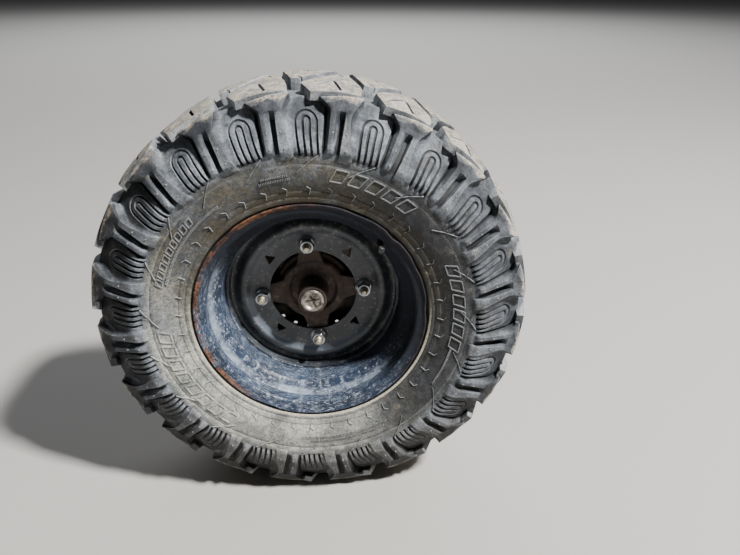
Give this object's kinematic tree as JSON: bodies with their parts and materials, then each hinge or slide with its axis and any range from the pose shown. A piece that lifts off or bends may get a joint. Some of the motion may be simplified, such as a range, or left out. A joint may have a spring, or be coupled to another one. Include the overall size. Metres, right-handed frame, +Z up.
{
  "type": "rear wheel of a side by side utility vehicle, on its hub and bearing carrier",
  "caption": "Dusty off-road wheel with a black steel rim, chunky tyre, four-arm hub, drilled brake disc and stub axle, turning in its bearing carrier.",
  "frame": {"origin": "centre of the carrier's bolt circle, on the inboard face that bolts to the trailing arm", "axes": "+Z up, +Y inboard along the axle, the outboard face looks towards -Y"},
  "size_m": [0.636, 0.2635, 0.636],
  "materials": {
    "tyre_rubber": "dusty worn rubber",
    "wheel_paint": "worn satin black",
    "rusty_iron": "rusted casting",
    "cap_steel": "dulled plating",
    "zinc_steel": "dusty zinc",
    "brake_steel": "ground faces, rusted edges",
    "axle_steel": "oiled and dusty",
    "bearing_steel": "ground",
    "seal_rubber": "matt",
    "valve_rubber": "matt",
    "caliper_iron": "dusty casting",
    "pad_lining": "matt, dusty",
    "carrier_metal": "as cast, dusty"
  },
  "bodies": {
    "carrier": {"bearing_carrier": "carrier_metal", "bearing_outer_ring": "bearing_steel", "bearing_seal_outboard": "seal_rubber", "bearing_seal_inboard": "seal_rubber", "retaining_ring": "zinc_steel", "brake_caliper": "caliper_iron", "caliper_bolts": "zinc_steel", "brake_pads": "pad_lining"},
    "wheel": {"tyre": "tyre_rubber", "rim_barrel": "wheel_paint", "wheel_disc": "wheel_paint", "wheel_hub": "rusty_iron", "hub_cap": "cap_steel", "wheel_studs": "zinc_steel", "wheel_nuts": "zinc_steel", "brake_disc": "brake_steel", "brake_disc_bolts": "zinc_steel", "stub_axle": "axle_steel", "axle_washer": "zinc_steel", "axle_nut": "zinc_steel", "valve_stem": "valve_rubber", "valve_cap": "valve_rubber", "bearing_inner_ring": "bearing_steel"}
  },
  "joints": [
    {"name": "wheel_spin", "type": "hinge", "parent": "carrier", "child": "wheel", "pos_m": [0, 0, 0], "axis": [0, 1, 0], "continuous": true}
  ]
}
